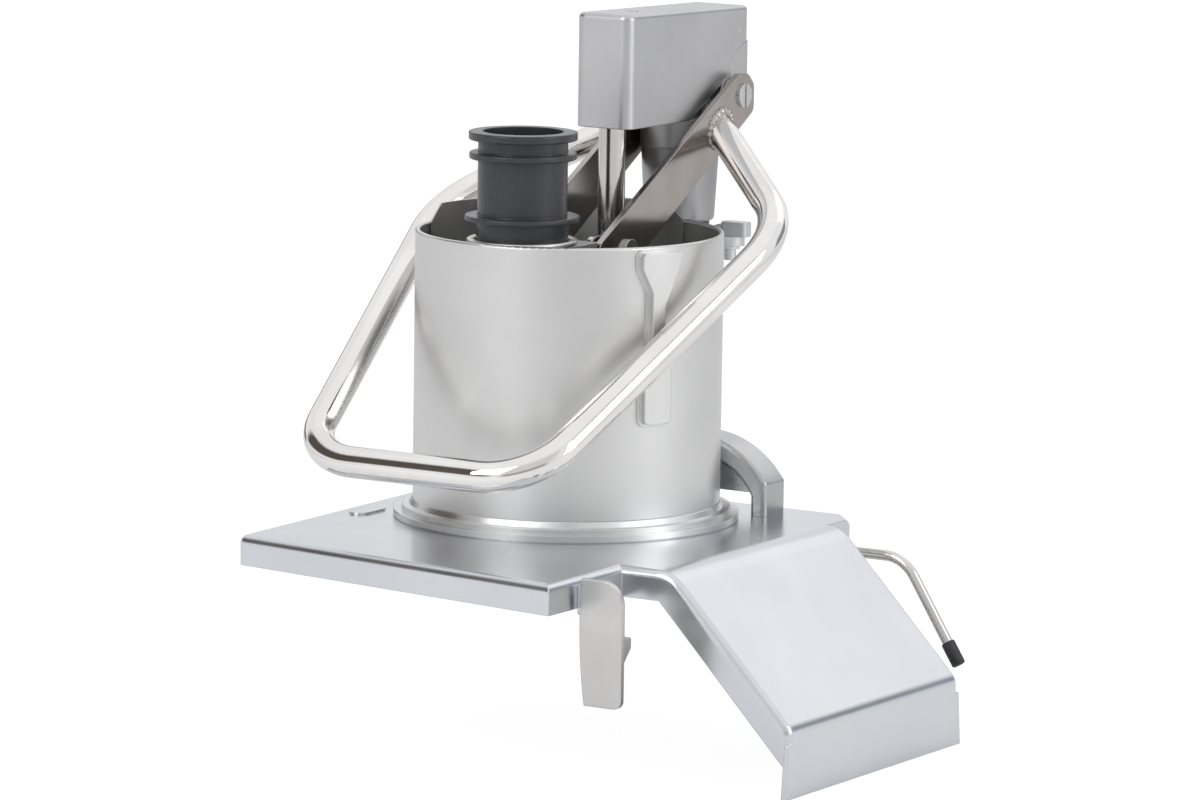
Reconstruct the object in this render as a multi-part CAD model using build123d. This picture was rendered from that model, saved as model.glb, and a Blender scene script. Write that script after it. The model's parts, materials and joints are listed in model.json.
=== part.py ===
import os
from math import atan2, cos, hypot, radians, sin, tan

from build123d import *

# Feed head of a vegetable cutter: lid with chute, round hopper, lever with pusher.
# Millimetres. X runs towards the chute, Y away from the front latch, Z up.
# Origin: hopper axis at the plane where the lid's underside rests on the cutting bowl.

# Hopper
hopper_r = 94.0
hopper_wall = 3.0
hopper_top = 179.0
rim_share = 0.45
guard_t = 1.5
guard_rise = 10.0
guard_lap = 30.0
guard_right_deg = 72.7
guard_left_deg = 191.7
guard_slope_w = 8.2

# Lid plate and chute: each edge by how far it stands out past the hopper
lid_t = 3.0
skirt_h = 18.0
left_near_w = 25.0
left_far_w = 36.0
right_w = 53.0
far_w = 13.7
near_left_w = 85.6
near_right_w = 121.0
notch_x_w = 30.0
notch_y_w = 41.0
lid_corner_r = 6.0
lid_edge_r = 5.0
far_chamfer_x = 13.0
far_chamfer_y = 15.0
chute_far_in = 39.7
chute_flat_l = 10.0
chute_l = 92.0
chute_drop = 84.6
chute_bend_r = 22.0
lip_h = 41.0
lip_flare = 3.0
lip_bend_r = 9.0
pad_l = 30.0
pad_w = 13.0
pad_h = 1.2
pad_out = 10.5
pad_y = 62.0

# Feed ring welded on the lid: widths past the hopper
ring_w = 11.7
ring_step_w = 6.5
ring_flange_h = 4.5
ring_step_h = 3.0
ring_weld_h = 4.0
ring_gap = 0.7
ring_seat_w = 4.5
spigot_w = 2.5
spigot_h = 6.0

# Round feed tube and its partition
tube_r = 30.5
tube_wall = 1.5
tube_gap = 6.5
tube_rim_w = 2.9
tube_rim_h = 3.0
part_gap = 4.0
part_t = 1.5
part_drop = 3.5

# Outer channel on the hopper
channel_deg = -25.0
channel_t = 6.0
channel_foot_half = 9.3
channel_neck_half = 4.4
channel_head_right = 20.0
channel_head_left = 11.3
channel_bottom = 72.5
channel_foot_z = 104.0
channel_neck_low_z = 116.0
channel_neck_right_z = 144.0
channel_neck_left_z = 152.0
channel_head_z = 166.0
channel_corner_r = 3.0
channel_flange_w = 2.0
channel_flange_t = 1.2

# Arched brace behind the hopper: places counted from the hopper's surface
arch_w = 25.0
arch_near_in = 28.5
arch_foot_in = 2.5
arch_foot_l = 11.0
arch_foot_h = 20.0
arch_top_z = 50.5
arch_t = 16.0
arch_end_in = 44.0
arch_bow = 5.5
arch_edge_r = 3.0
arch_web_z = 16.5
arch_web_in = 2.0

# Rear bracket, swivel post and column
post_gap = 34.0
post_r = 13.0
stud_r = 7.0
stud_top = 284.0
nut_r = 13.0
nut_h = 9.0
bracket_top = 169.0
bracket_h = 56.0
bracket_half_w = 25.0
bracket_r = 22.5
washer_t = 1.8
washer_gap = 0.4
washer_r = 19.0
bush_wall = 2.0
bush_l = 18.0
column_top_r = 24.4
column_bottom_r = 21.8
column_collar_r = 24.9
column_collar_h = 18.0
column_edge_r = 3.0
neck_r = 18.0
neck_top = 268.0
run_gap = 0.05
seat_gap = 0.3

# Head: places along Y counted from the swivel post
head_half_w = 19.8
head_nose = 13.5
head_tail = 48.0
head_bottom = 238.0
head_top = 308.0
head_top_rear = 305.0
head_wall = 4.0
head_vertical_r = 7.0
head_rear_r = 3.5
head_top_r = 3.0
head_cut_low = 22.0
head_cut_low_z = 238.0
head_cut_high = 25.0
head_cut_high_z = 262.5
head_step_z = 270.5
head_heel = 33.0
head_heel_z = 277.0
head_rear_z = 284.0
head_base_t = 5.0
well_r = 4.0
well_d = 2.5
well_back = 21.0
rod_arm = 80.5
rod_r = 8.3
rod_bottom = 12.0
rod_socket_r = 12.5
rod_socket_h = 24.0
lug_in = 1.2
cross_pin_in = 12.0
cross_pin_z = 290.8
cross_pin_r = 2.5

# Lever: the pivot is counted from the swivel post, the handle's places from the pivot
pivot_arm = 26.6
pivot_z = 250.4
pivot_r = 6.0
pivot_bush_r = 8.0
pivot_bush_l = 14.0
pivot_boss_r = 12.0
pivot_head_r = 7.5
pivot_head_h = 1.8
pivot_slot_w = 1.8
pivot_slot_d = 1.4
spacer_r = 10.0
arm_inner = 25.5
arm_t = 4.0
arm_deg = 29.4
arm_nose = 29.0
arm_up = 14.4
arm_down = 18.7
arm_front_r = 8.0
arm_rear_r = 6.0
arm_tail_shares = ((-0.139, 0.42), (0.169, 0.405), (0.387, 0.193), (0.387, -0.305), (-0.073, -0.58))
drive_pin_fore = 27.4
drive_pin_drop = 8.05
drive_pin_r = 5.0
drive_head_r = 8.0
drive_head_h = 2.5
lever_open_deg = 65.0
handle_r = 9.5
handle_wall = 1.5
handle_rear_bend_r = 65.0
handle_front_bend_r = 42.0
handle_root_y = 28.0
handle_root_z = 18.4
handle_side_w = 29.6
handle_side_y = 107.3
handle_side_z = 66.7
handle_grip_in = 14.0
handle_grip_y = 322.3
handle_grip_z = 197.8

# Large pusher
pusher_bottom = 7.0
pusher_t = 7.0
pusher_gap = 1.0
pusher_edge_r = 2.0
cheek_t = 3.0
cheek_gap = 1.5
slot_play = 2.3
slot_land = 4.5
leg_w = 26.0
foot_t = 4.0
foot_front_w = 19.5
foot_rear_w = 16.0
web_h = 34.0
web_t = 4.0
hub_r = 14.0
hub_top = 57.0
hub_bush_wall = 2.0
foot_screw_r = 1.6
foot_head_r = 3.2
foot_head_h = 2.5
foot_screw_x = 17.4
foot_screw_in = 5.0

# Small round pusher
small_gap = 1.1
small_wall = 3.5
small_bottom = 5.0
small_band_h = 8.0
small_top = 243.5
small_step = 0.8
small_flange_w = 4.25
small_flange_z = 189.5
small_flange_h = 3.5
small_ring_w = 1.8
small_ring_z = 227.0
small_ring_h = 4.0
small_top_w = 2.3
small_top_h = 5.0

# Front latch on the lid's right side: its face stands in from the lid's near right corner
latch_in = 28.5
latch_gap = 4.5
latch_w = 27.5
latch_t = 3.5
latch_top = 3.5
latch_h = 74.5
latch_shoulder_r = 14.0
latch_corner_r = 5.0
latch_belly = 1.0
latch_foot_in = 2.5
latch_pin_drop = 16.5
latch_pin_back = 8.5
latch_pin_r = 3.0
latch_ear_t = 4.0
latch_ear_r = 6.0
latch_ear_in = 7.0
claw_drop = 34.0
claw_l = 22.5
claw_nose = 6.5
claw_reach = 16.5
claw_w = 16.0
holder_t = 3.0
holder_l = 24.0
holder_r = 6.0
spring_wire_r = 0.6
spring_turns = 6.0
spring_gap = 1.0

# Hinge rod at the far side
hinge_r = 3.3
hinge_left_in = 30.0
hinge_bend_w = 35.4
hinge_bend_r = 24.0
hinge_drop_deg = 57.5
hinge_tail = 72.0
cap_r = 4.3
cap_l = 14.0
cap_end = 2.0
knuckle_r = 5.7
knuckle_l = 14.0
knuckle_shares = (-0.85, -0.62, 0.62, 0.85)

# Swing catch beside the column, in front of the swivel post
catch_x = 47.0
catch_fore = 16.0
catch_z = 168.0
catch_end = 13.0
catch_w = 9.0
catch_h = 9.0
catch_nose_l = 17.0
catch_nose_h = 4.0
catch_stub_r = 3.8
catch_stub_l = 15.0
catch_ear_t = 6.0
catch_clip_r = 6.0
catch_clip_h = 2.0

cut = 2.0
os.makedirs("parts", exist_ok=True)
nodes = {}


def add(name, *items):
    """Keep the solids of one node."""
    found = [s for item in items for s in item.solids()]
    nodes[name] = Compound(children=found) if len(found) > 1 else found[0]


def biggest(shape):
    """The largest solid of a shape."""
    return shape.solids().sort_by(SortBy.VOLUME)[-1]


def cyl(x, y, z0, z1, r):
    """Upright cylinder between two heights."""
    return Pos(x, y, (z0 + z1) / 2) * Cylinder(r, z1 - z0)


def cyl_x(x0, x1, y, z, r):
    """Cylinder along X."""
    return Pos((x0 + x1) / 2, y, z) * Rot(0, 90, 0) * Cylinder(r, x1 - x0)


def box(x0, x1, y0, y1, z0, z1):
    """Box between two corners."""
    return Pos((x0 + x1) / 2, (y0 + y1) / 2, (z0 + z1) / 2) * Box(x1 - x0, y1 - y0, z1 - z0)


def outline_of(edges):
    """Closed face from lines and arcs drawn in X and Y."""
    return make_face(Wire([e for item in edges for e in item.edges()]))


def slab_x(points, x0, x1):
    """Plate with an outline in Y and Z, between two X places."""
    face = make_face(Plane.YZ * Polyline(*points, close=True))
    return Pos(x0, 0, 0) * extrude(face, x1 - x0, dir=(1, 0, 0))


def slab_y(face, y0, y1):
    """Plate with a face drawn in X and Z, between two Y places."""
    return Pos(0, y0, 0) * extrude(Plane.XZ * face, y1 - y0, dir=(0, 1, 0))


def polygon(points):
    """Face with straight sides."""
    return make_face(Polyline(*points, close=True))


def turned(profile, x=0.0, y=0.0):
    """Solid of revolution about an upright axis from radius and height pairs."""
    return Pos(x, y, 0) * revolve(Plane.XZ * polygon(profile), Axis.Z)


def bent_path(points, bends):
    """Wire through points with a round bend of its own radius at each inner one."""
    edges = []
    start = Vector(*points[0])
    for before, at, after, bend_r in zip(points, points[1:], points[2:], bends):
        corner = Vector(*at)
        back = (Vector(*before) - corner).normalized()
        on = (Vector(*after) - corner).normalized()
        half = radians(back.get_angle(on)) / 2
        first = corner + back * (bend_r / tan(half))
        last = corner + on * (bend_r / tan(half))
        middle = corner + (back + on).normalized() * (bend_r / sin(half) - bend_r)
        edges += [Line(start, first), ThreePointArc(first, middle, last)]
        start = last
    edges.append(Line(start, Vector(*points[-1])))
    return Wire([e for item in edges for e in item.edges()])


def along(wire, r):
    """Round bar along a wire."""
    section = Plane(origin=wire @ 0, z_dir=wire % 0) * Circle(r)
    return sweep(section, path=wire)


# Lid plate with chute
lid_right = hopper_r + right_w
lid_far = hopper_r + far_w
lid_left = hopper_r + left_far_w
notch_x = hopper_r + notch_x_w
notch_y = hopper_r + notch_y_w
near_right = hopper_r + near_right_w
lid_plan = [
    (-hopper_r - left_near_w, -hopper_r - near_left_w), (notch_x, -near_right), (notch_x, -notch_y),
    (lid_right, -notch_y), (lid_right, lid_far - far_chamfer_y), (lid_right - far_chamfer_x, lid_far),
    (-lid_left, lid_far),
]
lid_bottom = lid_t - skirt_h
chute_far = lid_far - chute_far_in
chute_bend_x = lid_right + chute_flat_l
chute_end_x = lid_right + chute_l
crease_z = lid_t - chute_drop
lip_bottom = crease_z - lip_h
chute_lean = atan2(chute_drop, chute_end_x - chute_bend_x)


def lid_block(inset, top, bottom, edge_r):
    """Solid under the lid's plan, with its corners and its top edge rounded."""
    face = polygon(lid_plan)
    if inset:
        face = offset(face, -inset, kind=Kind.INTERSECTION)
    block = Pos(0, 0, bottom) * extrude(face, top - bottom, dir=(0, 0, 1))
    limit = lid_right - 2 * far_chamfer_x
    picked = [e for e in block.edges().filter_by(Axis.Z) if e.center().X < limit]
    block = fillet(picked, max(lid_corner_r - inset, lid_corner_r / 3))
    edges = block.faces().sort_by(Axis.Z)[-1].outer_wire().edges()
    side, far = lid_right - inset - lid_t, lid_far - 2 * lid_t
    return fillet([e for e in edges if e.center().X < side and e.center().Y < far], edge_r)


def chute_block(inset, below):
    """Solid under the chute's sheet, between its two sides."""
    back = inset * tan(chute_lean / 2)
    rise = inset * tan((radians(90) - chute_lean) / 2)
    top, x_end = lid_t - inset, chute_end_x - inset
    x_start = lid_right - 2 * lid_corner_r
    points = [(x_start, top), (chute_bend_x - back, top), (x_end, crease_z - rise)]
    if inset:
        points += [(x_end, crease_z - below), (x_start, crease_z - below)]
    else:
        foot_x = chute_bend_x - skirt_h * tan(chute_lean / 2)
        side_h = skirt_h / cos(chute_lean)
        points += [(x_end, crease_z - side_h), (foot_x, lid_bottom), (x_start, lid_bottom)]
    block = slab_y(polygon(points), -notch_y + inset, chute_far - inset)
    bend = [e for e in block.edges().filter_by(Axis.Y) if abs(e.center().X - points[1][0]) < cut]
    block = fillet([e for e in bend if e.center().Z > -lid_t], chute_bend_r - inset)
    end = [e for e in block.edges().filter_by(Axis.Y) if abs(e.center().X - x_end) < cut]
    block = fillet([e for e in end if e.center().Z > crease_z - rise - cut], lip_bend_r - inset)
    if inset:
        return block
    sides = [e for f in block.faces().filter_by(Plane.XZ) for e in f.edges()]
    low = [lid_bottom - max(e.center().X - foot_x, 0) * tan(chute_lean) for e in sides]
    return fillet([
        e for e, z in zip(sides, low) if e.center().Z > z + skirt_h / 2 and e.center().X > x_start + cut
    ], lid_edge_r)


lid = lid_block(0.0, lid_t, lid_bottom, lid_edge_r) + chute_block(0.0, 0.0)
lip_top = crease_z - lip_bend_r
lid += slab_x([
    (-notch_y, lip_top), (chute_far, lip_top), (chute_far + lip_flare, lip_bottom),
    (-notch_y - lip_flare, lip_bottom),
], chute_end_x - lid_t, chute_end_x)
pad = Pos(-hopper_r - pad_out, -pad_y, lid_t) * Rot(0, 0, 90)
lid += extrude(pad * SlotOverall(pad_l, pad_w), pad_h)
lid -= lid_block(lid_t, 0.0, lid_bottom - cut, lid_edge_r - lid_t)
lid -= chute_block(lid_t, lip_h + cut)
ring_seat_r = hopper_r + ring_seat_w
lid -= cyl(0, 0, -cut, lid_t + cut, ring_seat_r)
add("lid_plate_with_chute", biggest(lid))

# Feed ring
ring_r = hopper_r + ring_w
ring_step_r = hopper_r + ring_step_w
flange_top = lid_t + ring_flange_h
step_top = flange_top + ring_step_h
spigot_r = hopper_r + spigot_w
ring = turned([
    (hopper_r, -spigot_h), (spigot_r, -spigot_h), (spigot_r, 0), (ring_seat_r, 0), (ring_seat_r, lid_t),
    (ring_r - ring_gap, lid_t), (ring_r - ring_gap, lid_t + ring_gap), (ring_r, lid_t + ring_gap),
    (ring_r, flange_top), (ring_step_r, flange_top), (ring_step_r, step_top),
    (hopper_r + ring_weld_h / 2, step_top), (hopper_r, step_top + ring_weld_h),
])
add("feed_ring", ring)

# Hopper wall with the strip that raises its back
inner_r = hopper_r - hopper_wall
wall = cyl(0, 0, -spigot_h, hopper_top, hopper_r) - cyl(0, 0, -spigot_h - cut, hopper_top + cut, inner_r)
rim = wall.edges().filter_by(GeomType.CIRCLE).group_by(Axis.Z)[-1]
add("hopper_wall", fillet(rim, hopper_wall * rim_share))
guard_bottom = hopper_top - guard_lap
guard_top = hopper_top + guard_rise
reach = 2 * hopper_r
guard_half = inner_r * sin(radians(guard_left_deg - guard_right_deg) / 2)
guard_short = guard_half - guard_slope_w
guard_front = slab_x([
    (-guard_half, guard_bottom), (guard_half, guard_bottom), (guard_half, hopper_top),
    (guard_short, guard_top), (-guard_short, guard_top), (-guard_half, hopper_top),
], 0, reach)
guard = cyl(0, 0, guard_bottom, guard_top, inner_r)
guard -= cyl(0, 0, guard_bottom - cut, guard_top + cut, inner_r - guard_t)
add("back_guard", (Rot(0, 0, (guard_right_deg + guard_left_deg) / 2) * guard_front) & guard)

# Round feed tube with its rolled rim
tube_in = tube_r - tube_wall
small_r = tube_in - small_gap
small_upper_r = small_r - small_step
small_flange_r = tube_r + small_flange_w
small_ring_r = tube_r + small_ring_w
small_top_r = tube_r + small_top_w
tube_y = -(inner_r - tube_gap - tube_r)
tube_rim_r = tube_r + tube_rim_w
tube = turned([
    (tube_in, 0), (tube_r, 0), (tube_r, hopper_top - tube_rim_h), (tube_rim_r, hopper_top - tube_rim_h),
    (tube_rim_r, hopper_top), (tube_in, hopper_top),
], 0, tube_y)
rim = tube.edges().filter_by(GeomType.CIRCLE).group_by(Axis.Z)[-1]
add("round_feed_tube", fillet(rim, tube_rim_h * rim_share))

# Partition box round the feed tube
part_top = hopper_top - part_drop
part_half_w = tube_r + part_t
part_back = tube_y + tube_r + part_gap
shape = box(-part_half_w, part_half_w, -hopper_r, part_back, 0, part_top)
part_in = part_half_w - part_t
hollow = box(-part_in, part_in, -hopper_r - cut, part_back - part_t, -cut, part_top - part_t)
partition = (shape & cyl(0, 0, 0, part_top, inner_r)) - hollow
partition -= cyl(0, tube_y, -cut, part_top + cut, tube_r)
add("tube_partition", biggest(partition))

# Outer channel that covers the interlock rod, on its thin flange
outline = polygon([
    (-channel_foot_half, channel_bottom), (channel_foot_half, channel_bottom),
    (channel_foot_half, channel_foot_z), (channel_neck_half, channel_neck_low_z),
    (channel_neck_half, channel_neck_right_z), (channel_head_right, part_top),
    (-channel_head_left, part_top), (-channel_head_left, channel_head_z),
    (-channel_neck_half, channel_neck_left_z), (-channel_neck_half, channel_neck_low_z),
    (-channel_foot_half, channel_foot_z),
])
outline = fillet(outline.vertices(), channel_corner_r)
flange = offset(outline, channel_flange_w)
channel = extrude(Plane.YZ * outline, reach, dir=(1, 0, 0))
channel &= cyl(0, 0, 0, hopper_top, hopper_r + channel_t)
sheet = extrude(Plane.YZ * flange, reach, dir=(1, 0, 0))
channel += sheet & cyl(0, 0, 0, hopper_top, hopper_r + channel_flange_t)
channel -= cyl(0, 0, -cut, hopper_top + cut, hopper_r)
add("interlock_channel", Rot(0, 0, channel_deg) * biggest(channel))

# Arched brace from the lid to the hopper: a rim with a thinner web under it
foot_in = hopper_r - arch_foot_in
foot_out = foot_in + arch_foot_l
foot_top = lid_t + arch_foot_h
arch_near = hopper_r - arch_near_in
arch_far = arch_near + arch_w
arch_end_x = hopper_r - arch_end_in
arch_low_z = arch_top_z - arch_t
heel_z = foot_top - arch_t / 2


def bowed(x0, z0, x1, z1):
    """Arc between two places, bowed up and out."""
    return ThreePointArc((x0, z0), ((x0 + x1) / 2 + arch_bow, (z0 + z1) / 2 + arch_bow), (x1, z1))


outer = [
    Line((foot_out, lid_t), (foot_out, foot_top)),
    bowed(foot_out, foot_top, arch_end_x, arch_top_z),
]
rim = outline_of(outer + [
    Line((arch_end_x, arch_top_z), (arch_end_x, arch_low_z)),
    bowed(arch_end_x, arch_low_z, foot_in, heel_z),
    Line((foot_in, heel_z), (foot_in, lid_t)),
    Line((foot_in, lid_t), (foot_out, lid_t)),
])
web = outline_of(outer + [
    Line((arch_end_x, arch_top_z), (arch_end_x, arch_web_z)),
    Line((arch_end_x, arch_web_z), (foot_in, arch_web_z)),
    Line((foot_in, arch_web_z), (foot_in, lid_t)),
    Line((foot_in, lid_t), (foot_out, lid_t)),
])
arch = slab_y(rim, arch_near, arch_far)
corners = [e for e in arch.edges().filter_by(Axis.Z) if e.center().X > foot_in - cut]
arch = fillet(corners, arch_edge_r)
crown = arch.edges().filter_by(GeomType.CIRCLE).filter_by(lambda e: e.length > arch_t)
arch = fillet(crown, arch_edge_r)
arch += slab_y(web, arch_near + arch_edge_r + arch_web_in, arch_far - arch_edge_r - arch_web_in)
add("arched_brace", biggest(arch - cyl(0, 0, 0, hopper_top, hopper_r)))

# Rear bracket with the ear of the swing catch
post_y = hopper_r + post_gap
catch_y = post_y - catch_fore
bracket = box(-bracket_half_w, bracket_half_w, 0, post_y, bracket_top - bracket_h, bracket_top)
bracket += cyl(0, post_y, bracket_top - bracket_h, bracket_top, bracket_r)
ear_top = catch_z
ear_low = ear_top - catch_ear_t
bracket += box(0, catch_x, catch_y - catch_w, catch_y + catch_w, ear_low, ear_top)
bracket += cyl(catch_x, catch_y, ear_low, ear_top, catch_w)
bracket -= cyl(0, 0, 0, hopper_top, hopper_r)
bracket -= cyl(0, post_y, bracket_top - bracket_h - cut, bracket_top + cut, post_r)
bracket -= cyl(catch_x, catch_y, ear_low - cut, ear_top + cut, catch_stub_r + run_gap)
add("rear_bracket", biggest(bracket))

# Swivel post, washers, bushes and column
neck_floor = neck_top - nut_h
post = cyl(0, post_y, bracket_top - bracket_h, neck_floor, post_r)
add("swivel_post", post + cyl(0, post_y, neck_floor, stud_top, stud_r))
hole = cyl(0, post_y, bracket_top - cut, head_bottom + cut, post_r)
washers = []
for step in range(2):
    low = bracket_top + step * (washer_t + washer_gap)
    washers.append(cyl(0, post_y, low, low + washer_t, washer_r) - hole)
spacer_low = bracket_top + washer_t
spacer = cyl(0, post_y, spacer_low, spacer_low + washer_gap, post_r + bush_wall) - hole
add("swivel_washers", washers[0] + washers[1] + spacer)
column_bottom = bracket_top + 2 * washer_t + washer_gap
bush_out = post_r + bush_wall
collar_low = head_bottom - column_collar_h
column = Pos(0, post_y, (column_bottom + collar_low) / 2) * Cone(
    column_bottom_r, column_top_r, collar_low - column_bottom)
column = fillet(column.edges().filter_by(GeomType.CIRCLE).sort_by(Axis.Z)[0], column_edge_r)
column += cyl(0, post_y, collar_low, head_bottom, column_collar_r)
column -= cyl(0, post_y, column_bottom - cut, head_bottom + cut, bush_out)
add("swivel_column", column)
low_bush = cyl(0, post_y, column_bottom, column_bottom + bush_l, bush_out)
high_bush = cyl(0, post_y, head_bottom - bush_l, head_bottom, bush_out)
add("lower_swivel_bush", low_bush - hole)
add("upper_swivel_bush", high_bush - hole)

# Head housing and the nut inside it
w = head_wall
rod_y = post_y - rod_arm
head_front = rod_y - head_nose
head_rear = post_y + head_tail
pivot_y = post_y + pivot_arm
cut_low_y = post_y - head_cut_low
cut_high_y = post_y + head_cut_high
heel_y = post_y + head_heel
head_side = [
    (head_front, head_bottom), (cut_low_y, head_cut_low_z), (cut_high_y, head_cut_high_z),
    (cut_high_y, head_step_z), (heel_y, head_heel_z), (head_rear, head_rear_z), (head_rear, head_top_rear),
    (head_front, head_top),
]
head = slab_x(head_side, -head_half_w, head_half_w)
upright = head.edges().filter_by(Axis.Z).sort_by(Axis.Y)
head = fillet(upright[:2], head_vertical_r)
head = fillet(head.edges().filter_by(Axis.Z).sort_by(Axis.Y)[-2:], head_rear_r)
head = fillet(head.faces().sort_by(Axis.Z)[-1].outer_wire().edges(), head_top_r)
block_front = cut_high_y
block_rear = head_rear - w
block_half = head_half_w - w
inner_top = head_top_rear - w
hollow = slab_x([
    (head_front + w, head_bottom - cut), (cut_low_y - w, head_bottom - cut),
    (cut_low_y - w, head_cut_low_z + w),
    (cut_high_y - w, head_cut_high_z + w), (cut_high_y - w, head_step_z + w), (heel_y, head_heel_z + w),
    (block_rear, head_rear_z + w), (block_rear, inner_top),
    (head_front + w, inner_top),
], -block_half, block_half)
housing = head - hollow
housing += cyl(0, post_y, head_bottom, neck_top, neck_r)
housing += cyl(0, rod_y, inner_top - rod_socket_h, inner_top, rod_socket_r)
housing -= cyl(0, rod_y, head_bottom - cut, inner_top, rod_r)
housing -= cyl(0, post_y, head_bottom - cut, neck_floor, post_r)
housing -= cyl(0, post_y, neck_floor - cut, neck_top + cut, stud_r)
housing -= box(-block_half, block_half, block_front, block_rear, head_bottom, head_rear_z + 2 * w)
housing -= cyl_x(-reach, reach, pivot_y, pivot_z, pivot_boss_r + seat_gap)
well_y = rod_y + well_back
housing -= cyl(0, well_y, head_top - well_d, head_top + cut, well_r)
cross_pin_y = head_rear - cross_pin_in
housing -= cyl_x(-reach, reach, cross_pin_y, cross_pin_z, cross_pin_r)
add("head_housing", biggest(housing))
nut = Pos(0, post_y, neck_top) * extrude(RegularPolygon(nut_r, 6), nut_h)
add("post_nut", nut - cyl(0, post_y, neck_top, stud_top, stud_r))

# Base plate of the head and the guide rod
plate_rear = cut_low_y - w
base_plate = box(-block_half, block_half, head_front + w, plate_rear, head_bottom, head_bottom + head_base_t)
base_plate -= cyl(0, rod_y, head_bottom - cut, head_top, rod_r)
add("head_base_plate", base_plate)
add("guide_rod", cyl(0, rod_y, rod_bottom, inner_top, rod_r))

# Pivot block, its cross pin and bushes
block_top = cross_pin_z + 3 * cross_pin_r
block = box(-block_half, block_half, block_front, block_rear, pivot_z, block_top)
block += cyl_x(-head_half_w, head_half_w, pivot_y, pivot_z, pivot_boss_r)
lug = box(-head_half_w, head_half_w, cut_high_y + seat_gap, head_rear - lug_in, pivot_z, head_rear_z)
clear = offset(polygon([(y, z) for y, z in head_side]), seat_gap, kind=Kind.INTERSECTION)
block += lug - Pos(-reach, 0, 0) * extrude(Plane.YZ * clear, 2 * reach, dir=(1, 0, 0))
block -= cyl(0, post_y, head_bottom - cut, neck_top, neck_r + seat_gap)
block -= cyl_x(-reach, reach, pivot_y, pivot_z, pivot_bush_r)
block -= cyl_x(-reach, reach, cross_pin_y, cross_pin_z, cross_pin_r)
add("pivot_block", biggest(block))
add("block_cross_pin", cyl_x(-head_half_w, head_half_w, cross_pin_y, cross_pin_z, cross_pin_r))
bushes = []
for side in (-1, 1):
    ends = sorted((side * head_half_w, side * (head_half_w - pivot_bush_l)))
    bush = cyl_x(ends[0], ends[1], pivot_y, pivot_z, pivot_bush_r)
    bushes.append(bush - cyl_x(-reach, reach, pivot_y, pivot_z, pivot_r + run_gap))
add("pivot_bushes", *bushes)

# Lever arms
slope = radians(arm_deg)
fore = (-cos(slope), -sin(slope))
above = (-sin(slope), cos(slope))
arm_outer = arm_inner + arm_t
arm_w = arm_up + arm_down
drive_pin_l = (pivot_y - rod_y + drive_pin_fore + drive_pin_drop * sin(slope)) / cos(slope)
arm_l = drive_pin_l + arm_nose


def on_arm(ahead, up):
    """Place on the arm, ahead of the pivot and above its centre line."""
    return (pivot_y + ahead * fore[0] + up * above[0], pivot_z + ahead * fore[1] + up * above[1])


pin_y, pin_z = on_arm(drive_pin_l, -drive_pin_drop)
tail = [(pivot_y + a * arm_w, pivot_z + b * arm_w) for a, b in arm_tail_shares]
arm_points = [on_arm(arm_l, arm_up)] + tail + [on_arm(arm_l, -arm_down)]
for side, name in ((1, "right_arm"), (-1, "left_arm")):
    ends = sorted((side * arm_inner, side * arm_outer))
    arm = slab_x(arm_points, ends[0], ends[1])
    corners = arm.edges().filter_by(Axis.X).sort_by(Axis.Y)
    arm = fillet(corners[:2], arm_front_r)
    corners = arm.edges().filter_by(Axis.X).sort_by(Axis.Y)
    arm = fillet(corners[-4:], arm_rear_r)
    arm -= cyl_x(-reach, reach, pivot_y, pivot_z, pivot_r)
    arm -= cyl_x(-reach, reach, pin_y, pin_z, drive_pin_r)
    add(name, arm)

# Pivot bolt with slotted heads, spacers and drive pin
bolt = cyl_x(-arm_outer, arm_outer, pivot_y, pivot_z, pivot_r)
spacers = []
half_slot = pivot_slot_w / 2
bolt_end = arm_outer + pivot_head_h
for side in (-1, 1):
    ends = sorted((side * arm_outer, side * bolt_end))
    bolt += cyl_x(ends[0], ends[1], pivot_y, pivot_z, pivot_head_r)
    ends = sorted((side * (bolt_end - pivot_slot_d), side * (bolt_end + cut)))
    bolt -= box(
        ends[0], ends[1], pivot_y - half_slot, pivot_y + half_slot, pivot_z - 2 * pivot_head_r,
        pivot_z + 2 * pivot_head_r)
    gap_ends = sorted((side * (head_half_w + seat_gap), side * arm_inner))
    spacer = cyl_x(gap_ends[0], gap_ends[1], pivot_y, pivot_z, spacer_r)
    spacers.append(spacer - cyl_x(-reach, reach, pivot_y, pivot_z, pivot_r))
add("pivot_bolt", bolt)
add("pivot_spacers", *spacers)
pin = cyl_x(-arm_outer, arm_outer, pin_y, pin_z, drive_pin_r)
for side in (-1, 1):
    ends = sorted((side * arm_outer, side * (arm_outer + drive_head_h)))
    pin += cyl_x(ends[0], ends[1], pin_y, pin_z, drive_head_r)
add("drive_pin", pin)

# Handle tube, its places counted from the pivot
start = Vector(arm_outer, pivot_y - handle_root_y, pivot_z - handle_root_z)
side_point = Vector(hopper_r + handle_side_w, pivot_y - handle_side_y, pivot_z - handle_side_z)
root = start - (side_point - start).normalized() * 2 * handle_r
grip_point = (hopper_r - handle_grip_in, pivot_y - handle_grip_y, pivot_z - handle_grip_z)
right = [tuple(root), tuple(side_point), grip_point]
left = [(-x, y, z) for x, y, z in reversed(right)]
bends = [handle_rear_bend_r, handle_front_bend_r, handle_front_bend_r, handle_rear_bend_r]
path = bent_path(right + left, bends)
handle = along(path, handle_r) - along(path, handle_r - handle_wall)
handle -= box(-arm_outer, arm_outer, 0, reach, pivot_z - handle_side_z, 2 * pivot_z)
add("handle_tube", biggest(handle))

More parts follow.
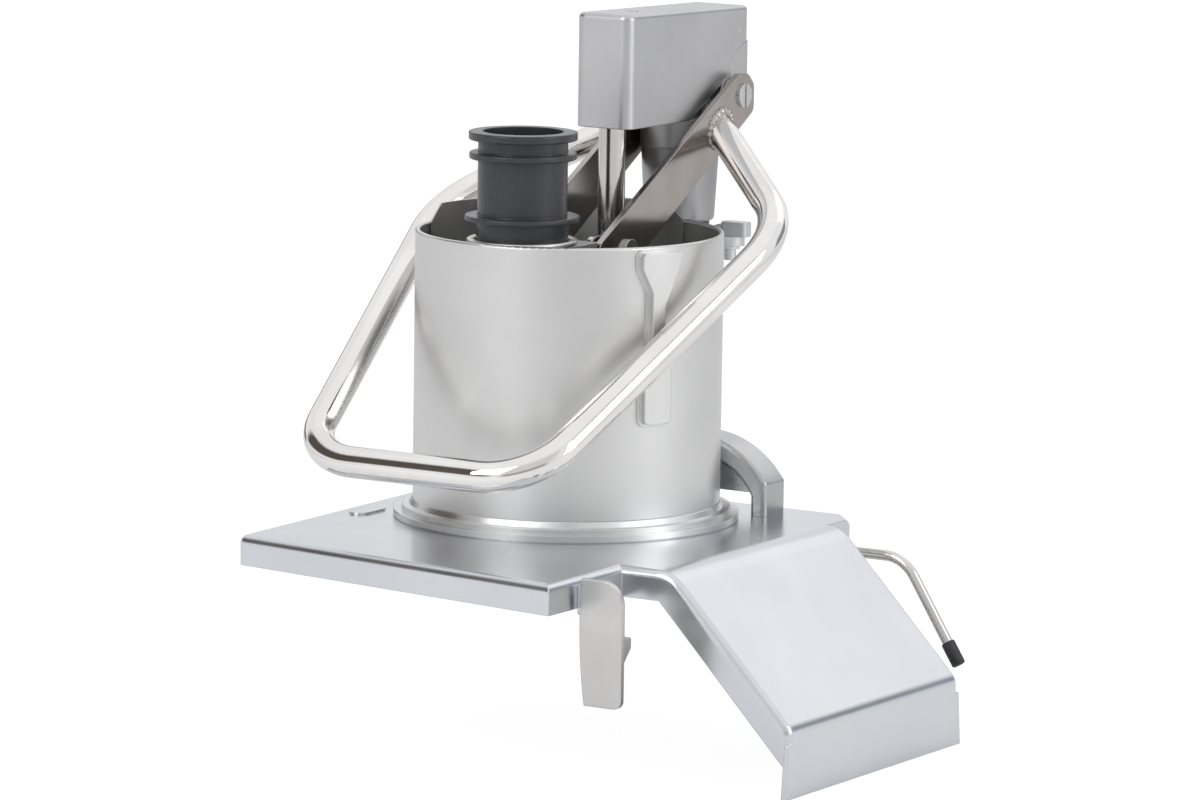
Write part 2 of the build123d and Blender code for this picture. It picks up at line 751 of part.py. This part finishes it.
# Large pusher plate
pusher_r = inner_r - guard_t - pusher_gap
plate_top = pusher_bottom + pusher_t
cut_half = max(part_half_w, small_flange_r) + pusher_gap
plate = cyl(0, 0, pusher_bottom, plate_top, pusher_r)
plate = fillet(plate.edges().filter_by(GeomType.CIRCLE), pusher_edge_r)
plate -= box(-cut_half, cut_half, -reach, part_back + pusher_gap, pusher_bottom - cut, plate_top + cut)
foot_front = rod_y - foot_front_w
foot_rear = rod_y + foot_rear_w
screw_rows = (foot_front + foot_screw_in, foot_rear - foot_screw_in)
screw_spots = [(side * foot_screw_x, y) for side in (-1, 1) for y in screw_rows]
hub_in_r = rod_r + run_gap + hub_bush_wall
plate -= cyl(0, rod_y, pusher_bottom - cut, plate_top + cut, hub_in_r)
for x, y in screw_spots:
    plate -= cyl(x, y, pusher_bottom + pusher_t / 2, plate_top + cut, foot_screw_r)
add("pusher_plate", biggest(plate))

# Yoke of the pusher: hub, foot and two slotted cheeks
lever_r = hypot(pin_y - pivot_y, pin_z - pivot_z)
rest_angle = atan2(pivot_z - pin_z, pivot_y - pin_y)
open_angle = radians(lever_open_deg) - rest_angle
slot_front = pivot_y - lever_r - drive_pin_r - seat_gap
slot_rear = max(pin_y, pivot_y - lever_r * cos(open_angle)) + drive_pin_r + seat_gap
slot_low = pin_z - drive_pin_r - slot_play
slot_high = pin_z + drive_pin_r + slot_play
cheek_out = arm_inner - cheek_gap
cheek_in = cheek_out - cheek_t
cheek_top = slot_high + slot_land
cheek_low = slot_low - slot_land
cheek_front = slot_front - slot_land
cheek_rear = slot_rear + slot_land
leg_front = rod_y - leg_w / 2
leg_rear = rod_y + leg_w / 2
cheek_points = [
    (cheek_front, cheek_low), (cheek_front, cheek_top), (cheek_rear, cheek_top), (cheek_rear, cheek_low),
    (leg_rear, hub_top), (leg_rear, plate_top), (leg_front, plate_top), (leg_front, hub_top),
]
yoke = box(-cheek_out, cheek_out, foot_front, foot_rear, plate_top, plate_top + foot_t)
yoke += cyl(0, rod_y, plate_top, hub_top, hub_r)
yoke += box(-cheek_out, cheek_out, rod_y - web_t / 2, rod_y + web_t / 2, plate_top, plate_top + web_h)
for side in (-1, 1):
    ends = sorted((side * cheek_in, side * cheek_out))
    cheek = slab_x(cheek_points, ends[0], ends[1])
    cheek = fillet(cheek.edges().filter_by(Axis.X).sort_by(Axis.Z)[-4:], slot_land)
    yoke += cheek
slot = box(-cheek_out - cut, cheek_out + cut, slot_front, slot_rear, slot_low, slot_high)
yoke -= fillet(slot.edges().filter_by(Axis.X), drive_pin_r)
yoke -= cyl(0, rod_y, plate_top - cut, hub_top + cut, hub_in_r)
for x, y in screw_spots:
    yoke -= cyl(x, y, plate_top - cut, plate_top + foot_t + cut, foot_screw_r)
add("pusher_yoke", biggest(yoke))
bush = cyl(0, rod_y, pusher_bottom, hub_top, hub_in_r)
add("pusher_bush", bush - cyl(0, rod_y, pusher_bottom - cut, hub_top + cut, rod_r + run_gap))
screw_top = plate_top + foot_t
screws = []
for x, y in screw_spots:
    screw = cyl(x, y, pusher_bottom + pusher_t / 2, screw_top, foot_screw_r)
    screws.append(screw + cyl(x, y, screw_top, screw_top + foot_head_h, foot_head_r))
add("pusher_screws", *screws)

# Small round pusher
core_r = small_r - small_wall
flange_top_z = small_flange_z + small_flange_h
ring_top_z = small_ring_z + small_ring_h
cap_low = small_top - small_top_h
band_r = tube_in - run_gap
band_top = small_bottom + small_band_h
small = turned([
    (0, small_bottom), (band_r, small_bottom), (band_r, band_top), (small_r, band_top),
    (small_r, small_flange_z), (small_flange_r, small_flange_z), (small_flange_r, flange_top_z),
    (small_upper_r, flange_top_z), (small_upper_r, small_ring_z), (small_ring_r, small_ring_z),
    (small_ring_r, ring_top_z),
    (small_upper_r, ring_top_z), (small_upper_r, cap_low), (small_top_r, cap_low), (small_top_r, small_top),
    (core_r, small_top), (core_r, small_bottom + small_wall), (0, small_bottom + small_wall),
], 0, tube_y)
rims = [e for e in small.edges().filter_by(GeomType.CIRCLE) if e.radius > tube_r]
add("round_pusher", fillet(rims, small_flange_h / 4))

# Latch holder and pin on the lid's side
latch_y = latch_in - near_right
latch_x = notch_x + latch_gap
latch_right = latch_x + latch_w
latch_bottom = latch_top - latch_h
latch_pin_y = latch_y + latch_pin_back
latch_pin_z = latch_top - latch_pin_drop
far_ear_x = latch_right - latch_ear_in - latch_ear_t
pin_end = far_ear_x + latch_ear_t + 2 * seat_gap
holder_y = latch_pin_y - latch_ear_r
holder_x = notch_x + holder_t
holder = box(notch_x, holder_x, holder_y, holder_y + holder_l, latch_pin_z - holder_r, lid_t - lid_edge_r)
holder = fillet(holder.edges().filter_by(Axis.X).sort_by(Axis.Z)[:2], holder_r / 2)
add("latch_bracket", holder - cyl_x(notch_x - cut, holder_x + cut, latch_pin_y, latch_pin_z, latch_pin_r))
add("latch_pin", cyl_x(notch_x, pin_end, latch_pin_y, latch_pin_z, latch_pin_r))

# Latch hook: front plate with a claw and two ears, and the spring on its pin
face_y = latch_y + latch_t
corner_top, corner_low = (latch_x, latch_top), (latch_x + latch_foot_in, latch_bottom)
front = outline_of([
    Line(corner_top, (latch_right, latch_top)), Line((latch_right, latch_top), (latch_right, latch_bottom)),
    Line((latch_right, latch_bottom), corner_low),
    ThreePointArc(corner_low, (latch_x - latch_belly, (latch_top + latch_bottom) / 2), corner_top),
])
hook = slab_y(front, latch_y, face_y)
corners = hook.edges().filter_by(Axis.Y).sort_by(Axis.X)[-2:].sort_by(Axis.Z)
hook = fillet(corners[-1], latch_shoulder_r)
corners = [e for e in hook.edges().filter_by(Axis.Y) if e.center().X > latch_right - cut]
hook = fillet(corners[0] if corners[0].center().Z < corners[-1].center().Z else corners[-1], latch_corner_r)
ear_z0, ear_z1 = latch_pin_z - latch_ear_r, latch_pin_z + latch_ear_r
for x0 in (latch_x, far_ear_x):
    x1 = x0 + latch_ear_t
    hook += box(x0, x1, face_y - cut, latch_pin_y, ear_z0, ear_z1)
    hook += cyl_x(x0, x1, latch_pin_y, latch_pin_z, latch_ear_r)
claw_top = latch_top - claw_drop
claw_tip = latch_y + claw_reach
claw = slab_x([
    (face_y - cut, claw_top), (claw_tip, claw_top), (claw_tip, claw_top - claw_nose),
    (face_y - cut, claw_top - claw_l),
], latch_right - claw_w - latch_t, latch_right - latch_t)
hook += fillet(claw.edges().filter_by(Axis.X).sort_by(Axis.Y)[-2:], claw_nose / 3)
hook -= cyl_x(latch_x - cut, latch_right, latch_pin_y, latch_pin_z, latch_pin_r + run_gap)
add("latch_hook", biggest(hook))
coil_x = latch_x + latch_ear_t + spring_gap
coil_l = far_ear_x - spring_gap - coil_x
coil_r = latch_pin_r + spring_wire_r + 2 * seat_gap
helix = Helix(coil_l / spring_turns, coil_l, coil_r)
wire_end = Plane(origin=helix @ 0, z_dir=helix % 0) * Circle(spring_wire_r)
coil = sweep(wire_end, path=helix, is_frenet=True)
add("latch_spring", Pos(coil_x, latch_pin_y, latch_pin_z) * Rot(0, 90, 0) * coil)

# Least gap between two turns of the spring, measured on points
steps = 24
spots = [helix @ (i / (steps * spring_turns)) for i in range(int(steps * spring_turns) + 1)]
apart = min((b - a).length for a, b in zip(spots, spots[steps:]))
print("spring gap", round(apart - 2 * spring_wire_r, 2))

# Hinge knuckles under the lid's far edge, rod and its cap
hinge_y = lid_far - lid_t - knuckle_r
hinge_z = lid_bottom - hinge_r - 2 * run_gap
rod_left = lid_left - hinge_left_in
stem_y = hinge_y + knuckle_r - (lid_edge_r - lid_t)
knuckles = []
for share in knuckle_shares:
    x = share * rod_left
    x0, x1 = x - knuckle_l / 2, x + knuckle_l / 2
    knuckle = cyl_x(x0, x1, hinge_y, hinge_z, knuckle_r)
    knuckle += box(x0, x1, hinge_y - knuckle_r, stem_y, hinge_z, 0)
    knuckles.append(knuckle - cyl_x(x0 - cut, x1 + cut, hinge_y, hinge_z, hinge_r + run_gap))
add("hinge_knuckles", *knuckles)
drop = radians(hinge_drop_deg)
bend_x = lid_right + hinge_bend_w
tail_end = (bend_x + hinge_tail * cos(drop), hinge_y, hinge_z - hinge_tail * sin(drop))
path = bent_path([(-rod_left, hinge_y, hinge_z), (bend_x, hinge_y, hinge_z), tail_end], [hinge_bend_r])
add("hinge_rod", along(path, hinge_r))
cap_at = Plane(origin=Vector(*tail_end), z_dir=(cos(drop), 0, -sin(drop)))
cap = extrude(cap_at.offset(-cap_l) * Circle(cap_r), cap_l + cap_end)
cap = fillet(cap.edges().filter_by(GeomType.CIRCLE), cap_r / 3)
add("rod_cap", cap - extrude(cap_at.offset(-cap_l - cut) * Circle(hinge_r), cap_l + cut))

# Swing catch and its clip
body = box(
    catch_x - catch_w / 2, catch_x + catch_end, catch_y - catch_w / 2, catch_y + catch_w / 2, catch_z,
    catch_z + catch_h)
body = fillet(body.edges().filter_by(Axis.Z), catch_w / 5)
nose_x = catch_x - catch_nose_l
body += slab_y(polygon([
    (nose_x, catch_z), (catch_x, catch_z), (catch_x, catch_z + catch_h), (nose_x, catch_z + catch_nose_h),
]), catch_y - catch_w / 4, catch_y + catch_w / 4)
body += cyl(catch_x, catch_y, catch_z - catch_stub_l, catch_z, catch_stub_r)
add("swing_catch", body)
clip = cyl(catch_x, catch_y, ear_low - catch_clip_h, ear_low, catch_clip_r)
add("catch_clip", clip - cyl(catch_x, catch_y, ear_low - catch_clip_h - cut, ear_low + cut, catch_stub_r))

for name, shape in nodes.items():
    export_step(shape, f"parts/{name}.step")
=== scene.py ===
import json
from math import cos, degrees, pi, radians, sin

import bpy
import bmesh
from mathutils import Matrix, Vector, noise


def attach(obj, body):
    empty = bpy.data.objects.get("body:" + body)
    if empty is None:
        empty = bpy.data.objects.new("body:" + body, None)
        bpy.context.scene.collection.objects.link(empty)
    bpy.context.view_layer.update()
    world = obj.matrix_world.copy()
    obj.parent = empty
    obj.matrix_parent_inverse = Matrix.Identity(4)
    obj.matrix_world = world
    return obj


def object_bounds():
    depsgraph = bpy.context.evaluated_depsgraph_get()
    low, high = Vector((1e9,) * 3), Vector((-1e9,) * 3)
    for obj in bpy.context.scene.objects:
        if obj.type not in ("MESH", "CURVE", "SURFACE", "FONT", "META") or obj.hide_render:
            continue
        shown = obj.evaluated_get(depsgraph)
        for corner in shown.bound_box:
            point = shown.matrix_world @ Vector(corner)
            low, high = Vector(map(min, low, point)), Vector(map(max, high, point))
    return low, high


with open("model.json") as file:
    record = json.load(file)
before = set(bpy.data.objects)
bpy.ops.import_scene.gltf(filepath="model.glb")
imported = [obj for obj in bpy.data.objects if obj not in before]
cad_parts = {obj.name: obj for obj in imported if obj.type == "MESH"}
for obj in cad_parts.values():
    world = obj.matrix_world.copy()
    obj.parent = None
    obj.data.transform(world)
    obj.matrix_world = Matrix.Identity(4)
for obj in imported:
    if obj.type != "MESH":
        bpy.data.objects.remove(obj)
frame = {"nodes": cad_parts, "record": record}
cad_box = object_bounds()
MM = 0.001
nodes = frame["nodes"]
slot_of = {s["node"]: s["material_slot"] for s in frame["record"]["subparts"]}

# View of the photograph: place, turn and lens of the camera, in the photograph's own axes
TURN = radians(32.1)
CAMERA_X = 1.3
CAMERA_Y = -3963.1
CAMERA_Z = 664.2
PITCH = radians(8.466)
ROLL = radians(-0.835)
YAW = radians(0.268)
FOCAL_PX = 6563.8
WIDTH_PX = 1200
SENSOR = 36.0
CLIP_END = 100


def from_photo(v):
    """Turns a vector from the photograph's axes into the row frame."""
    x, y, z = v
    return Vector((x * cos(TURN) - y * sin(TURN), x * sin(TURN) + y * cos(TURN), z))


def add_camera():
    look = Vector((sin(YAW) * cos(PITCH), cos(YAW) * cos(PITCH), -sin(PITCH)))
    side = Vector((cos(YAW), -sin(YAW), 0))
    down = look.cross(side)
    right = cos(ROLL) * side + sin(ROLL) * down
    below = -sin(ROLL) * side + cos(ROLL) * down
    columns = [from_photo(right), from_photo(-below), from_photo(-look)]
    turn = Matrix(columns).transposed().to_4x4()
    data = bpy.data.cameras.new("photo_camera")
    data.sensor_width = SENSOR
    data.lens = FOCAL_PX / WIDTH_PX * SENSOR
    data.clip_end = CLIP_END
    camera = bpy.data.objects.new("photo_camera", data)
    camera.matrix_world = Matrix.Translation(from_photo((CAMERA_X, CAMERA_Y, CAMERA_Z)) * MM) @ turn
    bpy.context.scene.collection.objects.link(camera)
    bpy.context.scene.camera = camera


# Node graph helpers
def node(tree, kind, inputs=None, **props):
    n = tree.nodes.new(kind)
    for key, value in props.items():
        setattr(n, key, value)
    for key, value in (inputs or {}).items():
        if isinstance(value, bpy.types.NodeSocket):
            tree.links.new(value, n.inputs[key])
        else:
            n.inputs[key].default_value = value
    return n


def ranged(tree, value, low, high, to_low, to_high, smooth=False):
    kind = "SMOOTHSTEP" if smooth else "LINEAR"
    inputs = {"Value": value, "From Min": low, "From Max": high, "To Min": to_low, "To Max": to_high}
    return node(tree, "ShaderNodeMapRange", inputs, interpolation_type=kind).outputs["Result"]


def noise_value(tree, vector, scale, detail=4.0, rough=0.55, stretch=(1, 1, 1)):
    mapped = node(tree, "ShaderNodeMapping", {"Vector": vector, "Scale": stretch}).outputs[0]
    inputs = {"Vector": mapped, "Scale": scale, "Detail": detail, "Roughness": rough}
    return node(tree, "ShaderNodeTexNoise", inputs).outputs["Fac"]


def mixed(tree, factor, a, b):
    n = node(tree, "ShaderNodeMix", data_type="RGBA")
    for name, value in (("Factor_Float", factor), ("A_Color", a), ("B_Color", b)):
        socket = next(s for s in n.inputs if s.identifier == name)
        if isinstance(value, bpy.types.NodeSocket):
            tree.links.new(value, socket)
        else:
            socket.default_value = value
    return next(s for s in n.outputs if s.identifier == "Result_Color")


def rgba(c):
    return (c[0], c[1], c[2], 1.0)


# What all finishes share: noise windows, steps against the cloud size, depths and edge rounding
CLOUD_WINDOW = (0.35, 0.65)
WEAR_WINDOW = (0.3, 0.7)
WEAR_STEP = 3
DENT_STEP = 2
CLOUD_DETAIL = 5.0
GRAIN_DETAIL = 3.0
GRAIN_ROUGH = 0.6
DENT_DETAIL = 2.0
GRAIN_DEPTH = 0.05 * MM
DENT_DEPTH = 1.0 * MM
EDGE_SAMPLES = 6
SPECULAR = 0.5


def surface(name, color, other, rough, rough_vary, metallic=1.0, patch=9.0, grain=900.0,
            stretch=(1, 1, 1), bump=0.1, dents=0.0, edge=0.7):
    """A finish with cloudy tone, uneven gloss and a fine grain, from the object's own coordinates."""
    m = bpy.data.materials.new(name)
    m.use_nodes = True
    tree = m.node_tree
    tree.nodes.clear()
    out = node(tree, "ShaderNodeOutputMaterial")
    coords = node(tree, "ShaderNodeTexCoord").outputs["Object"]
    cloud = noise_value(tree, coords, patch, CLOUD_DETAIL)
    tone = mixed(tree, ranged(tree, cloud, *CLOUD_WINDOW, 0, 1, True), rgba(color), rgba(other))
    lines = noise_value(tree, coords, grain, GRAIN_DETAIL, GRAIN_ROUGH, stretch)
    wear = noise_value(tree, coords, patch * WEAR_STEP)
    gloss = ranged(tree, wear, *WEAR_WINDOW, rough - rough_vary, rough + rough_vary)
    soft = node(tree, "ShaderNodeBevel", {"Radius": edge * MM}, samples=EDGE_SAMPLES).outputs[0]
    inputs = {"Height": lines, "Strength": bump, "Distance": GRAIN_DEPTH, "Normal": soft}
    bumped = node(tree, "ShaderNodeBump", inputs)
    if dents:
        swell = noise_value(tree, coords, patch * DENT_STEP, DENT_DETAIL)
        inputs = {"Height": swell, "Strength": dents, "Distance": DENT_DEPTH, "Normal": bumped.outputs[0]}
        bumped = node(tree, "ShaderNodeBump", inputs)
    inputs = {
        "Base Color": tone, "Metallic": metallic, "Roughness": gloss, "Normal": bumped.outputs[0],
        "Specular IOR Level": SPECULAR,
    }
    shader = node(tree, "ShaderNodeBsdfPrincipled", inputs)
    tree.links.new(shader.outputs[0], out.inputs["Surface"])
    return m


# Finish of each material slot: two tones, roughness and how much it varies
FINISH = {
    "cast_alu": surface(
        "satin_aluminium", (0.63, 0.648, 0.68), (0.675, 0.69, 0.715), 0.24, 0.03, patch=5.0,
        grain=500.0, stretch=(1.0, 0.08, 1.0), bump=0.06, dents=0.02, edge=1.0),
    "hopper_steel": surface(
        "blasted_steel", (0.66, 0.66, 0.655), (0.70, 0.70, 0.695), 0.34, 0.03, patch=11.0, grain=1500.0,
        bump=0.3, dents=0.01),
    "bright_steel": surface(
        "polished_steel", (0.80, 0.785, 0.765), (0.85, 0.84, 0.825), 0.045, 0.012, patch=20.0,
        grain=600.0, bump=0.015, dents=0.015),
    "brushed_plate": surface(
        "brushed_steel", (0.39, 0.355, 0.33), (0.47, 0.44, 0.42), 0.20, 0.04, patch=16.0, grain=900.0,
        stretch=(1.0, 0.12, 0.5), bump=0.12, edge=1.0),
    "head_grey": surface(
        "cast_grey", (0.52, 0.52, 0.525), (0.57, 0.57, 0.575), 0.36, 0.03, patch=12.0, grain=1500.0,
        bump=0.3, edge=1.0),
    "column_grey": surface(
        "dark_cast_grey", (0.34, 0.34, 0.345), (0.40, 0.40, 0.405), 0.40, 0.04, patch=16.0, grain=1300.0,
        bump=0.35),
    "steel": surface(
        "machined_steel", (0.58, 0.585, 0.59), (0.67, 0.67, 0.68), 0.25, 0.05, patch=30.0, grain=1100.0,
        stretch=(0.3, 1, 1), bump=0.15),
    "black_plastic": surface(
        "black_washer", (0.012, 0.012, 0.013), (0.02, 0.02, 0.021), 0.45, 0.06, metallic=0.0, patch=40.0,
        bump=0.2),
    "charcoal_plastic": surface(
        "charcoal_plastic", (0.027, 0.028, 0.031), (0.035, 0.036, 0.039), 0.29, 0.04, metallic=0.0,
        patch=24.0, grain=1800.0, bump=0.15, edge=1.0),
    "bush_plastic": surface(
        "bush_plastic", (0.45, 0.44, 0.40), (0.52, 0.51, 0.47), 0.4, 0.05, metallic=0.0, patch=40.0,
        bump=0.2),
    "cap_rubber": surface(
        "black_rubber", (0.018, 0.018, 0.02), (0.03, 0.03, 0.032), 0.5, 0.06, metallic=0.0, patch=60.0,
        grain=1500.0, bump=0.4),
}
# Finishes of single pieces that look unlike the rest of their slot in the photograph
drawn_steel = surface(
    "drawn_steel", (0.62, 0.60, 0.575), (0.70, 0.685, 0.665), 0.15, 0.03, patch=20.0, grain=900.0,
    stretch=(1, 1, 0.05), bump=0.08)
latch_alu = surface(
    "cast_latch", (0.60, 0.595, 0.58), (0.66, 0.655, 0.645), 0.33, 0.04, patch=18.0, grain=900.0,
    bump=0.3, dents=0.03, edge=1.2)
ring_steel = surface(
    "turned_ring", (0.68, 0.68, 0.68), (0.74, 0.74, 0.74), 0.29, 0.03, patch=10.0, grain=900.0,
    stretch=(1, 1, 0.1), bump=0.12)
bracket_grey = surface(
    "bracket_grey", (0.60, 0.605, 0.61), (0.66, 0.665, 0.67), 0.38, 0.04, patch=14.0, grain=1300.0,
    bump=0.3)
brace_alu = surface(
    "brace_alu", (0.46, 0.46, 0.465), (0.52, 0.52, 0.525), 0.27, 0.04, patch=14.0, grain=900.0,
    bump=0.2, edge=1.2)
OWN_FINISH = {
    "guide_rod": drawn_steel,
    "hinge_rod": drawn_steel,
    "latch_hook": latch_alu,
    "feed_ring": ring_steel,
    "rear_bracket": bracket_grey,
    "swing_catch": bracket_grey,
    "arched_brace": brace_alu,
}


def dress_frame():
    for name, obj in nodes.items():
        for s in obj.material_slots:
            s.link = "OBJECT"
            s.material = OWN_FINISH.get(name, FINISH[slot_of[name]])


# Weld beads where the handle tube meets the arms; the handle's end line and first bend are the tube's own
ARM_OUTER = 29.5
HANDLE_R = 9.5
HANDLE_START = (ARM_OUTER, 126.6, 232.0)
HANDLE_SIDE = (123.6, 47.3, 183.7)
BEAD_R = 2.3
BEAD_RINGS = 96
BEAD_SIDES = 10
RIPPLES = 19
RIPPLE_DEPTH = 0.22
UNEVEN_DEPTH = 0.16
UNEVEN_STEP = 3


def weld_bead(name, centre, along, normal, tube_r, bead_r, seed):
    """A rippled bead along the line where a tube meets a flat face."""
    mesh = bmesh.new()
    first = (along - normal * along.dot(normal)).normalized()
    second = normal.cross(first)
    lean = abs(along.dot(normal))
    rows = []
    for i in range(BEAD_RINGS):
        a = 2 * pi * i / BEAD_RINGS
        spot = centre + first * (cos(a) * tube_r / lean) + second * (sin(a) * tube_r)
        out = (first * (cos(a) * lean) + second * sin(a)).normalized()
        uneven = noise.noise(Vector((cos(a) * UNEVEN_STEP, sin(a) * UNEVEN_STEP, seed)))
        wave = 1 + RIPPLE_DEPTH * sin(a * RIPPLES + seed) + UNEVEN_DEPTH * uneven
        row = []
        for j in range(BEAD_SIDES):
            b = 2 * pi * j / BEAD_SIDES
            row.append(mesh.verts.new(spot + (out * cos(b) + normal * sin(b)) * bead_r * wave))
        rows.append(row)
    for i in range(BEAD_RINGS):
        ring, after = rows[i], rows[(i + 1) % BEAD_RINGS]
        for j in range(BEAD_SIDES):
            k = (j + 1) % BEAD_SIDES
            mesh.faces.new((ring[j], ring[k], after[k], after[j]))
    bmesh.ops.recalc_face_normals(mesh, faces=mesh.faces)
    finish_mesh(name, mesh, "lever", "brushed_plate")


def finish_mesh(name, mesh, body, slot):
    data = bpy.data.meshes.new(name)
    mesh.to_mesh(data)
    mesh.free()
    for face in data.polygons:
        face.use_smooth = True
    obj = bpy.data.objects.new(name, data)
    bpy.context.scene.collection.objects.link(obj)
    data.materials.append(FINISH[slot])
    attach(obj, body)


def on_side(side, place):
    """A place on the right side, or its mirror on the left, in metres."""
    return Vector((side * place[0], place[1], place[2])) * MM


def add_welds():
    for side, name in ((1, "weld_right"), (-1, "weld_left")):
        start = on_side(side, HANDLE_START)
        along = (on_side(side, HANDLE_SIDE) - start).normalized()
        weld_bead(name, start, along, Vector((side, 0, 0)), HANDLE_R * MM, BEAD_R * MM, side + 2)


# Studio: a pale room with darker and brighter zones that the metal mirrors, and a white floor
FLOOR_DROP = 0.3
FLOOR_Z = cad_box[0][2] - FLOOR_DROP * MM
FLOOR_HALF = 30.0
FLOOR_TONE = (0.86, 0.86, 0.86)
SHADOW_TONE = (0.16, 0.16, 0.16)
FLOOR_GLOW = 0.93
WHITE = (1, 1, 1)
ROOM = (0.92, 0.925, 0.94)
LAMP_AIM = (0, 0, 120)
LAMPS = [
    # name, place in metres, width and height, watts
    ("key_left", (-1.6, -1.5, 1.5), (1.4, 1.4), 20),
    ("fill_right", (1.9, -0.9, 0.9), (0.9, 1.6), 9),
]
ZONES = [
    # azimuth from and to, elevation from and to, softness (degrees, 0 towards the camera), colour
    (-110, -30, -95, 8, 10, (1.0, 1.01, 1.03)),
    (-22, 24, -40, 8, 12, (0.36, 0.36, 0.37)),
    (82, 128, -60, 8, 14, (0.87, 0.87, 0.89)),
    (-125, -45, 14, 40, 10, (0.10, 0.085, 0.075)),
    (-40, 34, 16, 40, 10, (0.74, 0.74, 0.74)),
    (108, 132, 8, 20, 5, (0.27, 0.29, 0.33)),
    (60, 66, -60, 44, 3, (0.06, 0.06, 0.06)),
    (164, 176, -70, 0, 5, (0.35, 0.35, 0.35)),
    (-172, -140, -70, 4, 8, (0.10, 0.10, 0.10)),
    (128, 158, 30, 60, 8, (1.24, 1.24, 1.24)),
    (-180, 180, 60, 95, 10, (1.0, 1.0, 1.01)),
]


def add_world():
    world = bpy.data.worlds.new("studio")
    bpy.context.scene.world = world
    world.use_nodes = True
    tree = world.node_tree
    tree.nodes.clear()
    way = node(tree, "ShaderNodeTexCoord").outputs["Generated"]

    def along(v):
        dot = node(tree, "ShaderNodeVectorMath", operation="DOT_PRODUCT")
        tree.links.new(way, dot.inputs[0])
        dot.inputs[1].default_value = from_photo(v).normalized()
        return dot.outputs["Value"]

    def angle(a, b):
        turn = node(tree, "ShaderNodeMath", {0: a, 1: b}, operation="ARCTAN2").outputs[0]
        return node(tree, "ShaderNodeMath", {0: turn, 1: degrees(1)}, operation="MULTIPLY").outputs[0]

    def times(a, b):
        return node(tree, "ShaderNodeMath", {0: a, 1: b}, operation="MULTIPLY").outputs[0]

    def between(value, low, high, soft):
        rise = ranged(tree, value, low - soft, low, 0, 1, True)
        return times(rise, ranged(tree, value, high, high + soft, 1, 0, True))

    azimuth = angle(along((1, 0, 0)), along((0, -1, 0)))
    up = along((0, 0, 1))
    lift = node(tree, "ShaderNodeMath", {0: up}, operation="ARCSINE").outputs[0]
    elevation = times(lift, degrees(1))
    room = rgba(ROOM)
    for left, right, low, high, soft, color in ZONES:
        here = times(between(azimuth, left, right, soft), between(elevation, low, high, soft))
        room = mixed(tree, here, room, rgba(color))
    path = node(tree, "ShaderNodeLightPath").outputs["Is Camera Ray"]
    color = mixed(tree, path, room, rgba(WHITE))
    back = node(tree, "ShaderNodeBackground", {"Color": color, "Strength": 1.0})
    out = node(tree, "ShaderNodeOutputWorld")
    tree.links.new(back.outputs[0], out.inputs["Surface"])


def add_lamp(name, place, size, power):
    data = bpy.data.lights.new(name, "AREA")
    data.shape = "RECTANGLE"
    data.size, data.size_y = size
    data.energy = power
    lamp = bpy.data.objects.new(name, data)
    lamp.location = from_photo(place)
    toward = from_photo(LAMP_AIM) * MM - lamp.location
    lamp.rotation_euler = toward.to_track_quat("-Z", "Y").to_euler()
    bpy.context.scene.collection.objects.link(lamp)


def add_floor():
    mesh = bmesh.new()
    corners = ((-1, -1), (1, -1), (1, 1), (-1, 1))
    mesh.faces.new([mesh.verts.new((x * FLOOR_HALF, y * FLOOR_HALF, FLOOR_Z)) for x, y in corners])
    data = bpy.data.meshes.new("floor")
    mesh.to_mesh(data)
    mesh.free()
    floor = bpy.data.objects.new("floor", data)
    bpy.context.scene.collection.objects.link(floor)
    m = bpy.data.materials.new("floor_white")
    m.use_nodes = True
    tree = m.node_tree
    tree.nodes.clear()
    out = node(tree, "ShaderNodeOutputMaterial")
    plain = node(tree, "ShaderNodeBsdfDiffuse", {"Color": rgba(FLOOR_TONE)})
    faint = node(tree, "ShaderNodeBsdfDiffuse", {"Color": rgba(SHADOW_TONE)})
    glow = node(tree, "ShaderNodeEmission", {"Color": rgba(WHITE), "Strength": FLOOR_GLOW})
    both = node(tree, "ShaderNodeAddShader")
    tree.links.new(faint.outputs[0], both.inputs[0])
    tree.links.new(glow.outputs[0], both.inputs[1])
    path = node(tree, "ShaderNodeLightPath").outputs["Is Camera Ray"]
    pick = node(tree, "ShaderNodeMixShader", {"Fac": path})
    tree.links.new(plain.outputs[0], pick.inputs[1])
    tree.links.new(both.outputs[0], pick.inputs[2])
    tree.links.new(pick.outputs[0], out.inputs["Surface"])
    data.materials.append(m)


add_camera()
dress_frame()
add_welds()
add_world()
add_floor()
for lamp_row in LAMPS:
    add_lamp(*lamp_row)
bpy.context.scene.view_settings.view_transform = "Standard"
